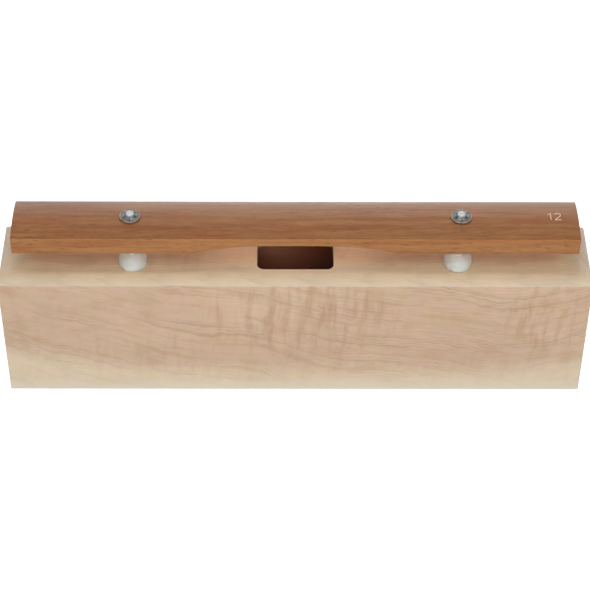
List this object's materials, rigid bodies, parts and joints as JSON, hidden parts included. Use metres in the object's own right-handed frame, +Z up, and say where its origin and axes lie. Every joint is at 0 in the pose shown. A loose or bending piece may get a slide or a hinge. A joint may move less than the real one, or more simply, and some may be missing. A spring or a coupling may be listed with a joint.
{
  "type": "resonator bar",
  "caption": "Arched wooden tone bar held on nylon posts by push-on star washers above a maple resonator box with a rounded sound hole.",
  "frame": {"origin": "middle of the box's underside, on the surface it stands on", "axes": "+X along the box to the right as seen from the front, +Y from the front to the back, +Z up"},
  "size_m": [0.425, 0.064, 0.1555],
  "materials": {
    "maple": "satin clear lacquer",
    "bar_wood": "satin oil",
    "white_nylon": "as moulded",
    "white_rubber": "matte",
    "dark_felt": "pressed felt",
    "steel": "spring steel, blackened"
  },
  "bodies": {
    "resonator": {"front_wall": "maple", "back_wall": "maple", "left_end": "maple", "right_end": "maple", "top_board": "maple", "bottom_board": "maple", "left_post_block": "maple", "right_post_block": "maple", "left_post": "white_nylon", "right_post": "white_nylon", "left_spacer": "white_rubber", "right_spacer": "white_rubber", "left_star_washer": "steel", "right_star_washer": "steel"},
    "bar": {"tone_bar": "bar_wood", "left_felt_ring": "dark_felt", "right_felt_ring": "dark_felt"}
  },
  "joints": [
    {"name": "bar_lift", "type": "slide", "parent": "resonator", "child": "bar", "axis": [0, 0, 1], "range_m": [0, 0.0008]}
  ]
}
